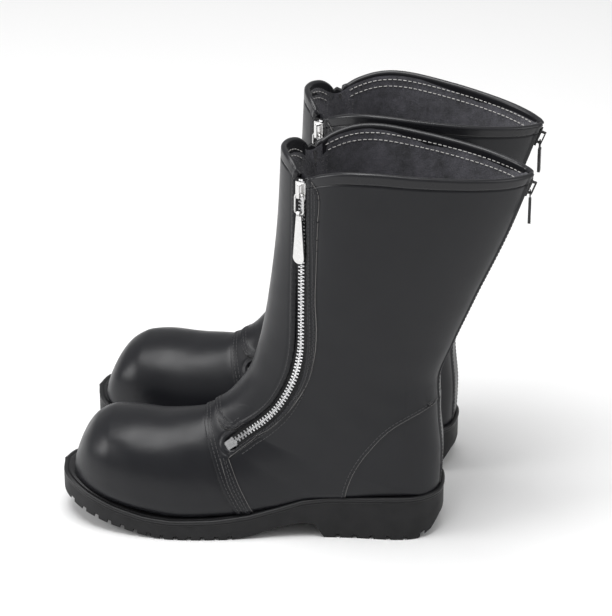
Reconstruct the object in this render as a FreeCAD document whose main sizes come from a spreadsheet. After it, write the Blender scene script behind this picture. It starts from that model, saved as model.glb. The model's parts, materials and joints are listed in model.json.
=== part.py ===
"""A pair of tall leather fire boots with two front zips and one rear zip on each boot.

Each boot is drawn as the left one, in its own frame: x points to the outer side of the foot, -y to the toe, z up,
with the sole's length from -y to +y about zero.  The boot is then turned toe-out about its heel and set beside
the mirror plane x = 0, and the right boot is the mirror image of the left one.
"""
import FreeCAD, Part
import bisect
import math
import os

Vector = FreeCAD.Vector

DRIVING = {
    "sole_length": 300.0,          # toe tip to heel back
    "heel_spacing": 104.0,         # between the two heels' centre lines
    "toe_out": 3.26,               # degrees each boot is turned outwards
    "rear_reach": 212.45,           # from the sole's middle back to the rear zip's slider
    "leather": 2.0,                # upper leather
    "stiffener_in": 2.3,           # depth of the stiffeners' outer face under the upper's outer face
    "stiffener_thick": 1.2,
    "lining_in": 4.0,
    "lining_thick": 1.0,
    "binding_height": 7.0,
    "welt_thick": 4.0,
    "welt_width": 13.0,
    "insole_thick": 2.6,
    "footbed_thick": 4.5,
    "heel_joint": 20.0,            # height of the joint between heel block and outsole
    "heel_breast": 51.0,           # how far back from the sole's middle the heel block starts
    "tread_depth": 3.0,
    "shank_length": 50.0,
    "shank_width": 14.0,
    "shank_thick": 2.0,
    "slab_width": 200.0,           # wider than a boot, for the side-view prisms
    "chain_depth": 2.2,            # middle of the front zip chain under the leather's outer face
    "chain_half": 2.7,
    "chain_slit": 0.35,
    "chain_half_thick": 1.1,
    "tape_half": 5.4,
    "tape_half_thick": 0.3,
    "gap_half": 5.6,               # half the opening between the leather edges
    "plate_width": 9.0,
    "plate_length": 13.0,
    "plate_thick": 0.9,
    "plate_gap": 3.0,
    "tunnel": 2.6,
    "bridge_width": 2.4,
    "bridge_thick": 1.0,
    "wire_radius": 0.75,
    "link_width": 9.0,
    "link_length": 16.5,
    "eye_radius": 2.0,
    "eye_bore": 1.1,
    "tab_length": 40.0,
    "tab_neck": 4.6,
    "tab_end": 9.8,
    "tab_thick": 1.4,
    "rear_depth": 1.6,
    "rear_scale": 1.0,             # rear slider's size against the front sliders
    "rear_tab_length": 19.0,
}

# The boot's form.  Each station is a plane seen edge-on from the side, from its front end to its back or bottom
# end: front y, z; back y, z; half width; centre x; share of the length where it is widest; and how square its
# front and back halves are (2 is an ellipse, more is squarer, less is more pointed).
STATIONS = [
    (24, 330, 220.5, 326, 51, 0, 0.34, 1.85, 1.65),
    (20, 250, 194, 250, 47, 0, 0.35, 1.8, 1.75),
    (14, 197, 171, 197, 43, 0, 0.37, 1.9, 1.9),
    (7.5, 160, 155.5, 160, 39.5, 0, 0.40, 2.0, 2.1),
    (-2, 127, 144.8, 127, 37.5, 0, 0.44, 2.1, 2.4),
    (-13, 110, 145.5, 98, 37, 0, 0.47, 2.1, 2.6),
    (-22, 100.5, 148, 66, 37, 0, 0.50, 2.1, 2.7),
    (-28, 96, 146, 33, 37.5, 0, 0.55, 2.1, 3.0),
    (-32, 93, 105, 31, 37, 0.5, 0.62, 2.2, 4),
    (-37, 90, 62, 29, 37, 1, 0.66, 2.2, 4.5),
    (-44, 87.5, 24, 20, 40, 1.5, 0.68, 2.2, 4.5),
    (-56, 85.5, -14, 14, 44, 2.5, 0.68, 2.2, 4.5),
    (-72, 84, -50, 12, 46.5, 3, 0.66, 2.2, 4.5),
    (-92, 85, -82, 15, 46, 2, 0.62, 2.2, 4.2),
    (-108, 84, -106, 19, 43, 0, 0.60, 2.2, 4),
    (-121, 78, -122, 23, 37, -2, 0.60, 2.2, 3.6),
    (-131, 66, -133, 27, 28, -4, 0.60, 2.2, 3.2),
    (-137, 52, -139.5, 31, 17, -5, 0.60, 2.2, 2.8),
    (-139.5, 44, -141, 35, 8, -6, 0.60, 2.1, 2.4),
]

# Side-view lines, as (y, z), and the sole's plan outline, as (x, y).
COLLAR_EDGE = [(8, 311), (22, 312), (31, 308.5), (38, 301.5), (43, 299), (48, 301), (56, 305), (72, 309.5),
               (92, 310.5), (130, 306.5), (170, 301.5), (206, 297), (235, 294)]
FEATHER = [(165, 37), (110, 36.5), (62, 34.5), (42, 32), (23, 26), (2, 20.5), (-26, 17), (-60, 16.2), (-80, 18),
           (-105, 23), (-125, 29), (-155, 39)]
GROUND = [(165, 24), (147, 15), (141, 6), (131, 0), (59, 0), (51, 11.5), (40, 13), (23, 9.5), (2, 2.5), (-14, 0),
          (-62, 0), (-85, 3), (-108, 7.5), (-130, 13), (-155, 21)]
SOLE_OUTLINE = [(-6, -150), (16, -146), (35, -128), (47, -98), (52, -62), (49, -20), (42, 20), (37, 60), (36.5, 100),
                (33, 130), (19, 146.5), (0, 150), (-19, 146.5), (-33, 130), (-35, 100), (-34, 60), (-36, 20),
                (-41, -20), (-46, -60), (-46, -95), (-40, -124), (-25, -143)]
VAMP_SEAM = [(-40, 110), (-36.5, 90), (-32, 77), (-26, 61), (-19.5, 44), (-7, 18), (-3, 8)]
FACING_FOOT = [(-14.6, 67.6), (-13, 62), (-6, 44), (4, 20), (8, 8)]
COUNTER_SEAM = [(158, 118), (141, 110.5), (127, 105.5), (109, 95.5), (94, 79), (82.5, 61), (76, 43), (73, 20)]
PANEL_FOOT = [(-27, 130), (-27, 91), (-22, 84)]

# The front zip's middle line in side view: straight down the shaft, then forward over the instep.
ZIP_TOP = (40.5, 299.0)
ZIP_BEND = (40.0, 166.0)
ZIP_CURVE = [(38.8, 153), (36, 139), (30, 123.5), (22, 109), (10.5, 95.5), (-2, 84.5), (-13, 76.5)]
REAR_ZIP_TOP = 294.0
REAR_ZIP_FOOT = 128.0
REAR_SLOT_HALF = 5.2
BACKSTAY_HALF = 10.0
SLIDER_BACK = 8.5       # how far below the zip's top end a slider's middle stands
LOOP_POINTS = 22
LOOPS_PER_STATION = 2

doc = FreeCAD.newDocument("fire_boots")
dims = doc.addObject("Spreadsheet::Sheet", "dims")
for row, (alias, value) in enumerate(DRIVING.items(), start=1):
    dims.set(f"A{row}", alias)
    dims.set(f"B{row}", str(value))
    dims.setAlias(f"B{row}", alias)
doc.recompute()


def dim(alias):
    """The value of a driving dimension, read from the sheet."""
    return float(getattr(dims, alias))


# ---------------------------------------------------------------- the boot's form
def station_slopes():
    """Slopes that carry each station value smoothly to the next without overshoot."""
    last = len(STATIONS) - 1
    slopes = []
    for i, here in enumerate(STATIONS):
        if i in (0, last):
            a, b = (STATIONS[0], STATIONS[1]) if i == 0 else (STATIONS[-2], STATIONS[-1])
            slopes.append([q - p for p, q in zip(a, b)])
            continue
        row_slopes = []
        for before, value, after in zip(STATIONS[i - 1], here, STATIONS[i + 1]):
            a, b = value - before, after - value
            row_slopes.append(0.0 if a * b <= 0 else 2 * a * b / (a + b))
        slopes.append(row_slopes)
    return slopes


SLOPES = station_slopes()


def station(t):
    """The nine station values at t, counted in stations from the collar; before 0 they run on straight."""
    if t < 0:
        return [v + t * m for v, m in zip(STATIONS[0], SLOPES[0])]
    i = min(int(t), len(STATIONS) - 2)
    u = t - i
    h00, h10 = 2 * u**3 - 3 * u**2 + 1, u**3 - 2 * u**2 + u
    h01, h11 = -2 * u**3 + 3 * u**2, u**3 - u**2
    return [h00 * a + h10 * ma + h01 * b + h11 * mb
            for a, ma, b, mb in zip(STATIONS[i], SLOPES[i], STATIONS[i + 1], SLOPES[i + 1])]


def width_share(a, widest, n_front, n_back):
    """The half width, as a share of the station's own, at share a of the way from its front end."""
    r, n = (1 - a / widest, n_front) if a < widest else ((a - widest) / (1 - widest), n_back)
    r = min(max(r, 0.0), 1.0)
    return (1 - r**n) ** (1 / n)


def loop_points(t, inset):
    """Points round the form at t, moved inwards by inset in the station's plane."""
    fy, fz, by, bz, w, cx, widest, nf, nb = station(t)
    length = math.hypot(by - fy, bz - fz)
    uy, uz = (by - fy) / length, (bz - fz) / length
    fy, fz, length, w = fy + inset * uy, fz + inset * uz, length - 2 * inset, w - inset
    points = []
    for k in range(LOOP_POINTS):
        angle = 2 * math.pi * k / LOOP_POINTS
        c, s = math.cos(angle), math.sin(angle)
        n = nf if c > 0 else nb
        along = abs(c) ** (2 / n)
        a = widest * (1 - along) if c > 0 else widest + (1 - widest) * along
        x = cx + math.copysign(abs(s) ** (2 / n), s) * w
        points.append(Vector(x, fy + uy * a * length, fz + uz * a * length))
    return points


def mean_parameters(loops):
    """Shared parameters of the points round the loops, from the mean distances between them."""
    parameters = [0.0]
    for k in range(LOOP_POINTS):
        steps = [points[k].distanceToPoint(points[(k + 1) % LOOP_POINTS]) for points in loops]
        parameters.append(parameters[-1] + sum(steps) / len(steps))
    return parameters


def form(inset):
    """The boot's form as a solid, moved inwards by inset, and run on above the collar."""
    stations = [0.0 if inset == 0 else -0.05]
    for k in range(1, (len(STATIONS) - 1) * LOOPS_PER_STATION + 1):
        t = k / LOOPS_PER_STATION
        fy, fz, by, bz, w = station(t)[:5]
        if min(w, math.hypot(by - fy, bz - fz) / 2) < inset + 3:
            break
        stations.append(t)
    loops = [loop_points(t, inset) for t in stations]
    parameters = mean_parameters(loops)
    rounds = []
    for points in loops:
        curve = Part.BSplineCurve()
        curve.interpolate(Points=points, PeriodicFlag=True, Parameters=parameters)
        rounds.append(curve)
    columns = []
    for column in zip(*(curve.getPoles() for curve in rounds)):
        curve = Part.BSplineCurve()
        curve.interpolate(Points=list(column), Parameters=stations)
        columns.append(curve)
    first, across = columns[0], rounds[0]
    surface = Part.BSplineSurface()
    surface.buildFromPolesMultsKnots([list(row) for row in zip(*(c.getPoles() for c in columns))],
                                     first.getMultiplicities(), across.getMultiplicities(),
                                     first.getKnots(), across.getKnots(), False, True,
                                     first.Degree, across.Degree)
    side = surface.toShape()
    caps = [Part.Face(Part.Wire([edge])) for edge in side.Edges if edge.isClosed()]
    shell = Part.makeShell([side.copy(), *(cap.copy() for cap in caps)])
    shell.sewShape()
    return Part.Solid(shell)


def surface_x(y, z):
    """Outer x of the form where a side-view point (y, z) meets it."""
    def miss(t):
        fy, fz, by, bz = station(t)[:4]
        return (by - fy) * (z - fz) - (bz - fz) * (y - fy)
    steps = 20
    for k in range(steps * (len(STATIONS) - 1)):
        low, high = k / steps, (k + 1) / steps
        if miss(low) * miss(high) > 0:
            continue
        for _ in range(40):
            middle = (low + high) / 2
            low, high = (low, middle) if miss(low) * miss(middle) <= 0 else (middle, high)
        fy, fz, by, bz, w, cx, widest, nf, nb = station(low)
        a = ((y - fy) * (by - fy) + (z - fz) * (bz - fz)) / ((by - fy) ** 2 + (bz - fz) ** 2)
        if -0.01 <= a <= 1.01:
            return cx + w * width_share(a, widest, nf, nb)
    raise ValueError(f"({y}, {z}) is outside the boot's side view")


def surface_frame(y, z, side, down):
    """Point, outward normal and across direction on the form at (y, z); side is 1 outer, -1 inner."""
    step = 1.5
    x = surface_x(y, z)
    dx_dy = (surface_x(y + step, z) - surface_x(y - step, z)) / (2 * step)
    dx_dz = (surface_x(y, z + step) - surface_x(y, z - step)) / (2 * step)
    normal = Vector(1, -dx_dy, -dx_dz).normalize()
    point = Vector(x, y, z)
    if side < 0:
        point.x, normal.x = 2 * centre_x(y, z) - x, -normal.x
    along = Vector(0, *down) - normal * Vector(0, *down).dot(normal)
    along = along.normalize()
    return point, normal, along


def centre_x(y, z):
    """x of the form's middle line; it leaves zero only over the forefoot."""
    nearest = min(STATIONS, key=lambda s: math.hypot((s[0] + s[2]) / 2 - y, (s[1] + s[3]) / 2 - z))
    return 0.0 if z > 110 or y > 60 else nearest[5]


# ---------------------------------------------------------------- helpers for shapes
def spline_edge(points):
    curve = Part.BSplineCurve()
    curve.interpolate(points)
    return curve.toShape()


def smooth_height(line, y):
    """Height of a side-view line at y, straight between its points."""
    pts = sorted(line)
    i = min(max(bisect.bisect([p[0] for p in pts], y), 1), len(pts) - 1)
    (y0, z0), (y1, z1) = pts[i - 1], pts[i]
    return z0 + (z1 - z0) * (y - y0) / (y1 - y0)


def side_prism(line, closing, smooth=True):
    """A prism across the boot whose side view is a line, smooth or straight, closed by straight edges."""
    half = dim("slab_width") / 2
    points = [Vector(-half, y, z) for y, z in line]
    ends = [Vector(-half, y, z) for y, z in closing]
    edges = [spline_edge(points)] if smooth else Part.makePolygon(points).Edges
    edges += Part.makePolygon([points[-1], *ends, points[0]]).Edges
    return Part.Face(Part.Wire(edges)).extrude(Vector(dim("slab_width"), 0, 0))


def zone_side(line, shift, z_far, smooth=True):
    """A prism across the boot from a side-view line, shifted up or down, to the height z_far."""
    forward = -400 if line[-1][0] < line[0][0] else 400
    closing = [(forward, z_far), (-forward, z_far)]
    return side_prism([(y, z + shift) for y, z in line], closing, smooth)


def between(low_line, low_shift, high_line, high_shift, smooth_low=True):
    """A prism across the boot between two side-view lines, each shifted up or down."""
    return zone_side(low_line, low_shift, 400, smooth_low).common(zone_side(high_line, high_shift, -50))


def outline_prism(inset):
    """The sole's plan outline, moved inwards by inset, as a tall prism."""
    points = []
    for k, (x, y) in enumerate(SOLE_OUTLINE):
        x0, y0 = SOLE_OUTLINE[k - 1]
        x1, y1 = SOLE_OUTLINE[(k + 1) % len(SOLE_OUTLINE)]
        length = math.hypot(x1 - x0, y1 - y0)
        points.append(Vector(x - inset * (y1 - y0) / length, y + inset * (x1 - x0) / length, -5))
    curve = Part.BSplineCurve()
    curve.interpolate(points, PeriodicFlag=True)
    return Part.Face(Part.Wire(curve.toShape())).extrude(Vector(0, 0, 80))


def strip(frames, x0, x1, z0, z1):
    """A band through frames of (point, normal, along), between x0 and x1 across and z0 and z1 outwards."""
    wires = []
    for point, normal, along in frames:
        across = normal.cross(along)
        corners = [point + across * x + normal * z for x, z in ((x0, z0), (x1, z0), (x1, z1), (x0, z1))]
        wires.append(Part.makePolygon([*corners, corners[0]]))
    return Part.makeLoft(wires, True, True)


def front_zip_frames(side):
    """Frames down a front zip's chain: one straight run, then the curve over the instep."""
    depth = dim("chain_depth")
    top, normal_top, _ = surface_frame(*ZIP_TOP, side, (0, -1))
    bend, normal_bend, _ = surface_frame(*ZIP_BEND, side, (0, -1))
    normal = (normal_top + normal_bend).normalize()
    run = (bend - top).normalize()
    normal = (normal - run * normal.dot(run)).normalize()
    frames = [(top - normal * depth, normal, run), (bend - normal * depth, normal, run)]
    line = [ZIP_BEND, *ZIP_CURVE, (-23, 70)]
    for k in range(1, len(line) - 1):
        down = (line[k + 1][0] - line[k - 1][0], line[k + 1][1] - line[k - 1][1])
        point, own, along = surface_frame(*line[k], side, down)
        frames.append((point - own * depth, own, along))
    return frames


def zip_gap(side):
    """The opening for a front zip, a little longer than its chain and bottom stop."""
    frames = front_zip_frames(side)
    point, normal, along = frames[-1]
    frames.append((point + along * 8.0, normal, along))
    return strip(frames, -dim("gap_half"), dim("gap_half"), -5.5, 12)


def rear_zip_frames():
    """Frames down the rear zip, on the back ridge: one straight run, then a short end piece."""
    def back_point(z):
        y0, z0, y1, z1 = *STATIONS[0][2:4], *STATIONS[1][2:4]
        if z < z1:
            y0, z0, y1, z1 = *STATIONS[1][2:4], *STATIONS[4][2:4]
        return Vector(0, y0 + (y1 - y0) * (z - z0) / (z1 - z0), z)
    top, foot = back_point(REAR_ZIP_TOP), back_point(REAR_ZIP_FOOT + 22)
    along = (foot - top).normalize()
    normal = Vector(1, 0, 0).cross(along) * -1
    normal = normal if normal.y > 0 else normal * -1
    shift = normal * dim("rear_depth")
    end = back_point(REAR_ZIP_FOOT + 1) - shift
    return [(top - shift, normal, along), (foot - shift, normal, along), (end, normal, along)]


# ---------------------------------------------------------------- the left boot's nodes
def boot_placement():
    """From the boot's own frame to the pair's: toe-out about the heel, beside the mirror plane, centred in y."""
    half = dim("sole_length") / 2
    turn = FreeCAD.Rotation(Vector(0, 0, 1), dim("toe_out"))
    centre_shift = (dim("rear_reach") - half) / 2
    base = Vector(dim("heel_spacing") / 2, half - centre_shift, 0) - turn.multVec(Vector(0, half, 0))
    return FreeCAD.Placement(base, turn)


PLACE = boot_placement()
left_nodes = []


def node(label, obj, placement=PLACE):
    """Registers a document object as a sub-part of the left boot."""
    obj.Label = "left_" + label
    obj.Placement = placement
    left_nodes.append(obj)
    return obj


def feature(label, shape):
    """A sub-part whose shape no primitive or sketch feature can make."""
    obj = doc.addObject("Part::Feature", label)
    solids = [s for s in shape.Solids if s.Volume > 1.0]
    obj.Shape = solids[0] if len(solids) == 1 else Part.makeCompound(solids)
    return node(label, obj)


def half_space(side):
    """A box on one side of the boot's middle plane."""
    x = 0 if side > 0 else -dim("slab_width")
    return Part.makeBox(dim("slab_width"), 500, 500, Vector(x, -250, -50))


def ridge_box(half_width, z0, z1):
    """A box about the middle plane at the back of the boot."""
    return Part.makeBox(2 * half_width, 200, z1 - z0, Vector(-half_width, 90, z0))


def make_upper():
    """The leather panels, from one shell that is cut along its seams."""
    shell = form(0).cut(form(dim("leather")))
    rim_shell = form(0).cut(form(dim("lining_in") + dim("lining_thick")))
    body_zone = between(FEATHER, 0.2, COLLAR_EDGE, -dim("binding_height"))
    rim_zone = between([(y, z - dim("binding_height")) for y, z in COLLAR_EDGE], 0.0, COLLAR_EDGE, 0.0)
    gaps = [zip_gap(side) for side in (1, -1)]
    slot = ridge_box(REAR_SLOT_HALF, REAR_ZIP_FOOT, 340)
    shell = shell.common(body_zone)
    ahead_of_vamp = side_prism(VAMP_SEAM, [(-200, 8), (-200, 110)])
    vamp = shell.common(ahead_of_vamp)
    rest = shell.cut(ahead_of_vamp).cut(gaps[0]).cut(gaps[1])
    zip_line = [(ZIP_TOP[0], 340), ZIP_TOP, ZIP_BEND, *ZIP_CURVE]
    front_zone = side_prism(zip_line, [*reversed(PANEL_FOOT), (-60, 340)], smooth=False)
    band_zone = side_prism([*PANEL_FOOT, ZIP_CURVE[-1], *FACING_FOOT], [(-200, 8), (-200, 130)], smooth=False)
    panel = rest.common(front_zone)
    rest = rest.cut(front_zone)
    band = rest.common(band_zone)
    rest = rest.cut(band_zone)
    back_strip = ridge_box(BACKSTAY_HALF, 0, 340)
    backstay = rest.common(back_strip).cut(slot)
    rest = rest.cut(back_strip)
    counter_zone = side_prism(COUNTER_SEAM, [(250, 20), (250, 118)])
    counter = rest.common(counter_zone)
    rest = rest.cut(counter_zone)
    binding = rim_shell.common(rim_zone).cut(gaps[0]).cut(gaps[1]).cut(slot)
    feature("vamp", vamp)
    feature("instep_band", band)
    feature("front_panel", panel)
    feature("outer_quarter", rest.common(half_space(1)))
    feature("inner_quarter", rest.common(half_space(-1)))
    feature("heel_cover", counter)
    feature("backstay", backstay)
    feature("collar_binding", binding)
    return gaps


def make_inside(gaps):
    """Stiffeners, lining, insole board and footbed, which the upper hides."""
    low = 0.6 + dim("insole_thick")
    inner_zone = between(FEATHER, low, COLLAR_EDGE, -dim("binding_height") - 0.2)
    stiff = form(dim("stiffener_in")).cut(form(dim("stiffener_in") + dim("stiffener_thick"))).common(inner_zone)
    toe_zone = side_prism([(-84, 10), (-88, 60), (-84, 110)], [(-200, 110), (-200, 10)])
    heel_zone = side_prism([(150, 100), (128, 92), (106, 76), (92, 55), (86, 30)], [(250, 30), (250, 100)])
    feature("toe_puff", stiff.common(toe_zone))
    feature("heel_stiffener", stiff.common(heel_zone))
    lining = form(dim("lining_in")).cut(form(dim("lining_in") + dim("lining_thick"))).common(inner_zone)
    rear = ridge_box(REAR_SLOT_HALF + 0.6, REAR_ZIP_FOOT, 340)
    feature("lining", lining.cut(gaps[0]).cut(gaps[1]).cut(rear))
    board_zone = between(FEATHER, 0.3, FEATHER, 0.3 + dim("insole_thick"))
    feature("insole_board", form(dim("stiffener_in")).common(board_zone))
    bed_zone = between(FEATHER, low + 0.2, FEATHER, low + dim("footbed_thick"))
    feature("footbed", form(dim("lining_in") + dim("lining_thick") + 0.3).common(bed_zone))


def tread_cutters():
    """Transverse grooves, shallow under the sole and open at its edges."""
    tread = side_prism([(y, z + dim("tread_depth")) for y, z in GROUND], [(-155, -20), (165, -20)], smooth=False)
    groove, pitch = 3.2, 10.5
    boxes = [Part.makeBox(200, groove, 60, Vector(-100, -141 + pitch * k, -10)) for k in range(13)]
    boxes += [Part.makeBox(200, groove, 60, Vector(-100, 68 + 13 * k, -10)) for k in range(6)]
    middle = Part.makeBox(3.5, 400, 60, Vector(-1, -200, -10))
    return Part.makeCompound([b.common(tread) for b in boxes]), middle.common(tread)


def make_sole():
    """Welt ring, outsole, heel block and the steel shank in the hollow inside the welt."""
    welt_low = -dim("welt_thick")
    plan = outline_prism(0)
    grooves, middle = tread_cutters()
    welt_ring = plan.cut(outline_prism(dim("welt_width")))
    feature("welt", welt_ring.common(between(FEATHER, welt_low, FEATHER, 0.0)))
    sole_zone = between(GROUND, 0.0, FEATHER, welt_low, smooth_low=False)
    sole = outline_prism(0.8).common(sole_zone)
    heel_box = Part.makeBox(200, 200, dim("heel_joint") + 50, Vector(-100, dim("heel_breast"), -50))
    heel = sole.common(heel_box)
    feature("outsole", sole.cut(heel_box).cut(grooves).cut(middle))
    feature("heel_block", heel.cut(grooves))
    make_shank()


def make_shank():
    """The steel shank: a pad in the shank's plan outline, cut to the arch's slope."""
    body = doc.addObject("PartDesign::Body", "shank")
    sketch = body.newObject("Sketcher::SketchObject", "shank_plan")
    plane = next(o for o in body.Origin.OriginFeatures if o.Role == "XY_Plane")
    sketch.AttachmentSupport = [(plane, "")]
    sketch.MapMode = "FlatFace"
    half_w, half_l = dim("shank_width") / 2, dim("shank_length") / 2 - dim("shank_width") / 2
    sketch.addGeometry(Part.LineSegment(Vector(half_w, -half_l, 0), Vector(half_w, half_l, 0)))
    sketch.addGeometry(Part.ArcOfCircle(Part.Circle(Vector(0, half_l, 0), Vector(0, 0, 1), half_w), 0, math.pi))
    sketch.addGeometry(Part.LineSegment(Vector(-half_w, half_l, 0), Vector(-half_w, -half_l, 0)))
    sketch.addGeometry(Part.ArcOfCircle(Part.Circle(Vector(0, -half_l, 0), Vector(0, 0, 1), half_w),
                                        math.pi, 2 * math.pi))
    pad = body.newObject("PartDesign::Pad", "shank_pad")
    pad.Profile = sketch
    pad.setExpression("Length", "dims.shank_thick")
    front, back = (2.0, smooth_height(FEATHER, 2.0)), (42.0, smooth_height(FEATHER, 42.0))
    slope = math.degrees(math.atan2(back[1] - front[1], back[0] - front[0]))
    base = Vector(0, 24, (front[1] + back[1]) / 2 + 0.6 - dim("welt_thick") + 0.9)
    node("shank", body, PLACE.multiply(FreeCAD.Placement(base, FreeCAD.Rotation(Vector(1, 0, 0), slope))))


def frame_placement(point, normal, along):
    """Placement whose x is across, y up the zip and z outwards."""
    up = along * -1
    across = up.cross(normal)
    turn = FreeCAD.Rotation(across, up, normal, "ZYX")
    return PLACE.multiply(FreeCAD.Placement(point, turn))


def chain_solids(frames, half, slit, half_thick, end_stop):
    """Two rows of teeth as bands with a fine slit between, and a bottom stop."""
    rows = [strip(frames, *sorted((side * slit, side * half)), -half_thick, half_thick) for side in (1, -1)]
    if not end_stop:
        return rows
    point, normal, along = frames[-1]
    ahead = [(point + along * 0.6, normal, along), (point + along * 6.6, normal, along)]
    return rows + [strip(ahead, -4.0, 4.0, -1.4, 1.6)]


def make_front_zip(prefix, side):
    """One front zip: tape, teeth with stop, slider, link and tab."""
    frames = front_zip_frames(side)
    half, edge = dim("chain_half"), dim("tape_half")
    thick = dim("tape_half_thick")
    tapes = [strip(frames, *sorted((s * (half + 0.05), s * edge)), -thick, thick) for s in (1, -1)]
    feature(prefix + "_zip_tape", Part.makeCompound(tapes))
    rows = chain_solids(frames, half, dim("chain_slit"), dim("chain_half_thick"), True)
    feature(prefix + "_zip_teeth", Part.makeCompound(rows))
    point, normal, along = frames[0]
    place = frame_placement(point + along * SLIDER_BACK, normal, along)
    hung = place.multiply(hang(place, hinge_spot(1.0)))
    node(prefix + "_zip_slider", slider(prefix + "_slider", 1.0), place)
    node(prefix + "_zip_link", link(prefix + "_link"), hung)
    node(prefix + "_zip_tab", tab(prefix + "_tab"), hung)
    return place, hung


def hang(place, hinge):
    """Turn about a slider's hinge spot that lets its pull hang straight down."""
    down = place.Rotation.inverted().multVec(Vector(0, 0, -1))
    turn = FreeCAD.Rotation(Vector(1, 0, 0), -max(0.0, math.degrees(math.atan2(down.z, -down.y))))
    pivot = Vector(0, *hinge)
    return FreeCAD.Placement(pivot - turn.multVec(pivot), turn)


def box(name, sizes, corner):
    """A box whose three sizes are expressions of the sheet's cells."""
    made = doc.addObject("Part::Box", name)
    for side, expression in zip(("Length", "Width", "Height"), sizes):
        made.setExpression(side, expression)
    for axis, expression in zip("xyz", corner):
        made.setExpression(f"Placement.Base.{axis}", expression)
    return made


def fused(name, parts):
    made = doc.addObject("Part::MultiFuse", name)
    made.Shapes = parts
    return made


def slider(name, scale):
    """Slider: two plates round the chain, a web in its slit, side flanges and the bridge that holds the pull."""
    k = str(scale)
    w, l, t = (f"dims.plate_{v} * {k}" for v in ("width", "length", "thick"))
    gap, web, lip = f"dims.plate_gap * {k}", "0.4 mm", f"{0.7 * scale} mm"
    bridge, top = f"dims.bridge_width * {k}", f"dims.bridge_thick * {k}"
    tunnel, post = f"dims.tunnel * {k}", f"{1.3 * scale} mm"
    post_in = f"{1.3 * scale} mm"
    over = f"{gap} / 2 + {t}"
    mm = " * 1 mm"
    parts = [
        box(name + "_front", (w + mm, l + mm, t + mm), (f"-{w} / 2", f"-{l} / 2", f"{gap} / 2")),
        box(name + "_back", (w + mm, l + mm, t + mm), (f"-{w} / 2", f"-{l} / 2", f"-{gap} / 2 - {t}")),
        box(name + "_web", (web, f"{3.0 * scale} mm", gap + mm), ("-0.2", f"{l} / 2 - {3.0 * scale}", f"-{gap} / 2")),
    ]
    for side in (-1, 1):
        x = f"-{w} / 2" if side < 0 else f"{w} / 2 - {0.7 * scale}"
        z = f"{gap} / 2 - {0.8 * scale}"
        parts.append(box(f"{name}_lip_{'ab'[side > 0]}", (lip, l + mm, f"{0.8 * scale} mm"), (x, f"-{l} / 2", z)))
        y = f"-{l} / 2 + {1.3 * scale}" if side < 0 else f"{l} / 2 - {2.6 * scale}"
        parts.append(box(f"{name}_post_{'ab'[side > 0]}", (bridge + mm, post, tunnel + mm),
                         (f"-{bridge} / 2", y, over)))
    parts.append(box(name + "_bridge", (bridge + mm, f"({l} - {2.6 * scale}) * 1 mm", top + mm),
                     (f"-{bridge} / 2", f"-{l} / 2 + {1.3 * scale}", f"{over} + {tunnel}")))
    return fused(name, parts)


def hinge_spot(scale):
    """Height and along position of the pull's hinge in the slider's frame."""
    height = (dim("plate_gap") / 2 + dim("plate_thick") + dim("tunnel") / 2) * scale + 0.25
    along = -(dim("plate_length") / 2 - 2.6) * scale + dim("wire_radius") * scale + 0.35
    return along, height


def wire_ring(name, along, height, length, alias_width, scale):
    """A wire ring lying flat, long and round-cornered, its straight top bar on the hinge spot."""
    radius = dim("wire_radius") * scale
    half = dim(alias_width) / 2 * scale - radius
    corner = 0.6 * half
    drop = length - 2 * radius
    parts = []
    corners = ((1, 0), (-1, 0), (-1, 1), (1, 1))
    for k, (across, low) in enumerate(corners):
        bend = doc.addObject("Part::Torus", f"{name}_bend_{'abcd'[k]}")
        bend.Radius1 = corner
        bend.setExpression("Radius2", f"dims.wire_radius * {scale} * 1 mm")
        bend.Angle3 = 90
        y = along - drop + corner if low else along - corner
        turn = FreeCAD.Rotation(Vector(0, 0, 1), 90 * k)
        bend.Placement = FreeCAD.Placement(Vector(across * (half - corner), y, height), turn)
        parts.append(bend)
    bars = (
        ("top", Vector(corner - half, along, height), Vector(0, 1, 0), 2 * (half - corner)),
        ("low", Vector(corner - half, along - drop, height), Vector(0, 1, 0), 2 * (half - corner)),
        ("side_a", Vector(half, along - corner, height), Vector(1, 0, 0), drop - 2 * corner),
        ("side_b", Vector(-half, along - corner, height), Vector(1, 0, 0), drop - 2 * corner),
    )
    for word, start, axis, reach in bars:
        bar = doc.addObject("Part::Cylinder", f"{name}_{word}")
        bar.setExpression("Radius", f"dims.wire_radius * {scale} * 1 mm")
        bar.Height = reach
        bar.Placement = FreeCAD.Placement(start, FreeCAD.Rotation(axis, 90))
        parts.append(bar)
    return parts


def link(name):
    """The oval wire link between the slider's bridge and the tab."""
    along, height = hinge_spot(1.0)
    return fused(name, wire_ring(name, along, height, dim("link_length"), "link_width", 1.0))


def tab_hinge():
    """Where the tab's eye sits on the link's lower bar."""
    along, height = hinge_spot(1.0)
    return along - dim("link_length") + 2 * dim("wire_radius"), height


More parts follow.
